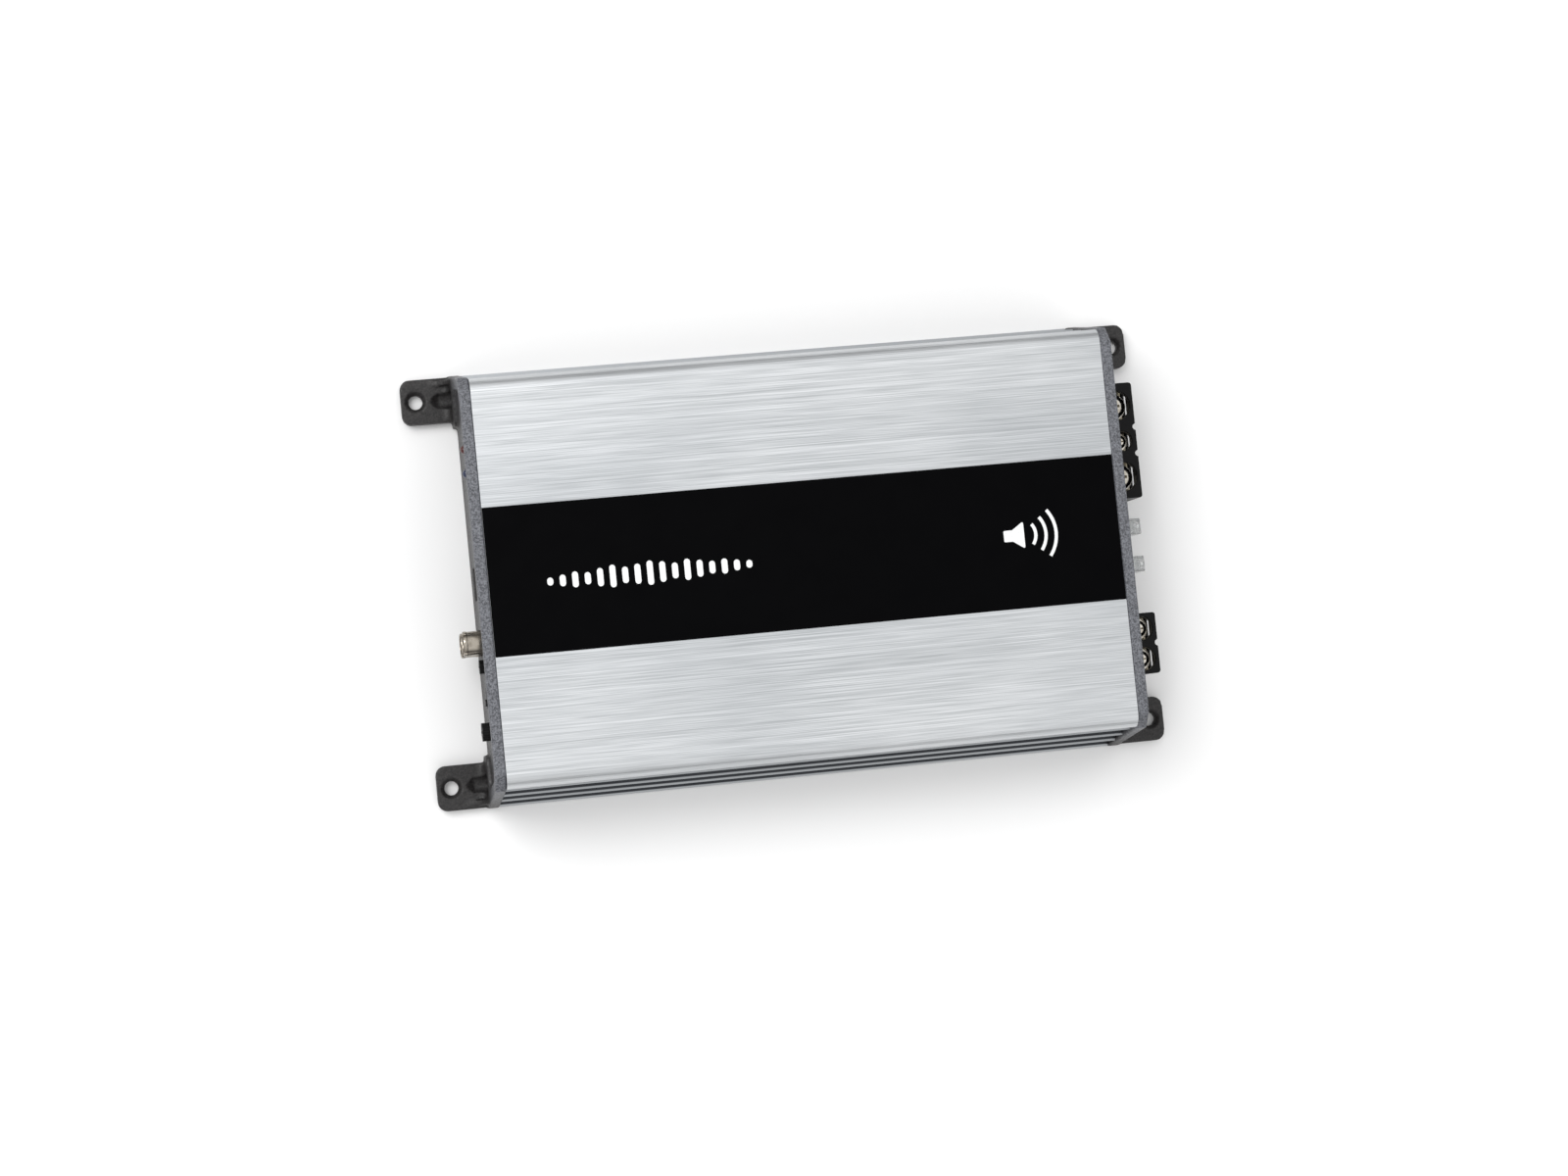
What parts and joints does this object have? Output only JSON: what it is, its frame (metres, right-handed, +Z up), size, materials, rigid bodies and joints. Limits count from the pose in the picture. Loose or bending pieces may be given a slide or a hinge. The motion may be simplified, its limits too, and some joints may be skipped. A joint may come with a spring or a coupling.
{
  "type": "car amplifier",
  "caption": "Car audio power amplifier in a finned brushed aluminium case, with two cast end caps, mounting ears, phono inputs, blade fuses and screw terminals.",
  "frame": {"origin": "centre of the footprint, in the plane of the mounting ears' undersides", "axes": "+X along the case towards the power and speaker terminals, +Y across it towards the back, +Z up"},
  "size_m": [0.252, 0.1462, 0.0464],
  "materials": {
    "brushed_aluminium": "brushed along its length and clear anodised",
    "mill_aluminium": "as extruded",
    "black_enamel": "satin black enamel",
    "black_steel_sheet": "black powder coat on steel sheet",
    "textured_casting": "fine textured powder coat on die-cast alloy",
    "black_zinc_steel": "black zinc plated",
    "black_terminal_plastic": "moulded, semi-gloss",
    "tinned_brass": "stamped and tinned",
    "nickel_plated_steel": "nickel plated",
    "clear_fuse_plastic": "clear moulded polysulphone",
    "fuse_zinc": "stamped zinc alloy",
    "black_control_plastic": "moulded, fine matt",
    "nickel_plated_brass": "turned and nickel plated",
    "red_plastic": "moulded",
    "white_plastic": "moulded",
    "control_housing": "tinned steel can",
    "blue_led_epoxy": "cast tinted epoxy",
    "red_led_epoxy": "cast tinted epoxy",
    "circuit_board": "glass epoxy with solder mask",
    "enamelled_copper": "wound enamelled wire",
    "capacitor_sleeve": "shrink sleeve on an aluminium can"
  },
  "bodies": {
    "root": {"heatsink_housing": "brushed_aluminium", "transistor_clamp_bar": "mill_aluminium", "stripe_inlay": "black_enamel", "bottom_plate": "black_steel_sheet", "left_end_cap": "textured_casting", "right_end_cap": "textured_casting", "cap_screw_left_lower_front": "black_zinc_steel", "cap_screw_left_lower_back": "black_zinc_steel", "cap_screw_left_upper_front": "black_zinc_steel", "cap_screw_left_upper_back": "black_zinc_steel", "plate_screw_left_front": "black_zinc_steel", "plate_screw_left_back": "black_zinc_steel", "cap_screw_right_lower_front": "black_zinc_steel", "cap_screw_right_lower_back": "black_zinc_steel", "cap_screw_right_upper_front": "black_zinc_steel", "cap_screw_right_upper_back": "black_zinc_steel", "plate_screw_right_front": "black_zinc_steel", "plate_screw_right_back": "black_zinc_steel", "power_terminal_block": "black_terminal_plastic", "speaker_terminal_block": "black_terminal_plastic", "fuse_holder": "black_terminal_plastic", "battery_contact": "tinned_brass", "remote_contact": "tinned_brass", "ground_contact": "tinned_brass", "speaker_plus_contact": "tinned_brass", "speaker_minus_contact": "tinned_brass", "rca_body": "black_control_plastic", "remote_socket": "black_control_plastic", "rca_sleeve_lower": "nickel_plated_brass", "rca_sleeve_upper": "nickel_plated_brass", "rca_insulator_lower": "red_plastic", "rca_insulator_upper": "white_plastic", "level_pot_body": "control_housing", "lowpass_pot_body": "control_housing", "phase_switch_body": "control_housing", "power_led": "blue_led_epoxy", "protect_led": "red_led_epoxy", "main_board": "circuit_board", "supply_transformer": "enamelled_copper", "output_inductor": "enamelled_copper", "supply_capacitor_1": "capacitor_sleeve", "supply_capacitor_2": "capacitor_sleeve"},
    "level_knob": {"level_knob": "black_control_plastic"},
    "lowpass_knob": {"lowpass_knob": "black_control_plastic"},
    "phase_slider": {"phase_switch_slider": "black_control_plastic"},
    "fuse_1": {"fuse_body_1": "clear_fuse_plastic", "fuse_element_1": "fuse_zinc"},
    "fuse_2": {"fuse_body_2": "clear_fuse_plastic", "fuse_element_2": "fuse_zinc"},
    "battery_clamp": {"battery_washer": "nickel_plated_steel"},
    "battery_screw": {"battery_screw": "nickel_plated_steel"},
    "remote_clamp": {"remote_washer": "nickel_plated_steel"},
    "remote_screw": {"remote_screw": "nickel_plated_steel"},
    "ground_clamp": {"ground_washer": "nickel_plated_steel"},
    "ground_screw": {"ground_screw": "nickel_plated_steel"},
    "speaker_plus_clamp": {"speaker_plus_washer": "nickel_plated_steel"},
    "speaker_plus_screw": {"speaker_plus_screw": "nickel_plated_steel"},
    "speaker_minus_clamp": {"speaker_minus_washer": "nickel_plated_steel"},
    "speaker_minus_screw": {"speaker_minus_screw": "nickel_plated_steel"}
  },
  "joints": [
    {"name": "level_turn", "type": "hinge", "parent": "root", "child": "level_knob", "pos_m": [-0.1075, -0.0262, 0.023], "axis": [-1, 0, 0], "range_deg": [-150, 150]},
    {"name": "lowpass_turn", "type": "hinge", "parent": "root", "child": "lowpass_knob", "pos_m": [-0.108, -0.0477, 0.023], "axis": [-1, 0, 0], "range_deg": [-150, 150]},
    {"name": "phase_slide", "type": "slide", "parent": "root", "child": "phase_slider", "axis": [0, 1, 0], "range_m": [0, 0.003]},
    {"name": "fuse_1_pull", "type": "slide", "parent": "root", "child": "fuse_1", "axis": [1, 0, 0], "range_m": [0, 0.014]},
    {"name": "fuse_2_pull", "type": "slide", "parent": "root", "child": "fuse_2", "axis": [1, 0, 0], "range_m": [0, 0.014]},
    {"name": "battery_clamp_close", "type": "slide", "parent": "root", "child": "battery_clamp", "axis": [0, 0, -1], "range_m": [0, 0.0049]},
    {"name": "battery_screw_turn", "type": "hinge", "parent": "battery_clamp", "child": "battery_screw", "pos_m": [0.1144, 0.04235, 0.02], "axis": [0, 0, -1], "range_deg": [0, 2520]},
    {"name": "remote_clamp_close", "type": "slide", "parent": "root", "child": "remote_clamp", "axis": [0, 0, -1], "range_m": [0, 0.0049]},
    {"name": "remote_screw_turn", "type": "hinge", "parent": "remote_clamp", "child": "remote_screw", "pos_m": [0.1155, 0.03015, 0.02], "axis": [0, 0, -1], "range_deg": [0, 2520]},
    {"name": "ground_clamp_close", "type": "slide", "parent": "root", "child": "ground_clamp", "axis": [0, 0, -1], "range_m": [0, 0.0049]},
    {"name": "ground_screw_turn", "type": "hinge", "parent": "ground_clamp", "child": "ground_screw", "pos_m": [0.1144, 0.018, 0.02], "axis": [0, 0, -1], "range_deg": [0, 2520]},
    {"name": "speaker_plus_clamp_close", "type": "slide", "parent": "root", "child": "speaker_plus_clamp", "axis": [0, 0, -1], "range_m": [0, 0.0049]},
    {"name": "speaker_plus_screw_turn", "type": "hinge", "parent": "speaker_plus_clamp", "child": "speaker_plus_screw", "pos_m": [0.1152, -0.0341, 0.02], "axis": [0, 0, -1], "range_deg": [0, 2520]},
    {"name": "speaker_minus_clamp_close", "type": "slide", "parent": "root", "child": "speaker_minus_clamp", "axis": [0, 0, -1], "range_m": [0, 0.0049]},
    {"name": "speaker_minus_screw_turn", "type": "hinge", "parent": "speaker_minus_clamp", "child": "speaker_minus_screw", "pos_m": [0.1152, -0.0445, 0.02], "axis": [0, 0, -1], "range_deg": [0, 2520]}
  ],
  "couplings": [
    {"joint": "battery_screw_turn", "follows": "battery_clamp_close", "rad_per_m": 8976},
    {"joint": "remote_screw_turn", "follows": "remote_clamp_close", "rad_per_m": 8976},
    {"joint": "ground_screw_turn", "follows": "ground_clamp_close", "rad_per_m": 8976},
    {"joint": "speaker_plus_screw_turn", "follows": "speaker_plus_clamp_close", "rad_per_m": 8976},
    {"joint": "speaker_minus_screw_turn", "follows": "speaker_minus_clamp_close", "rad_per_m": 8976}
  ]
}
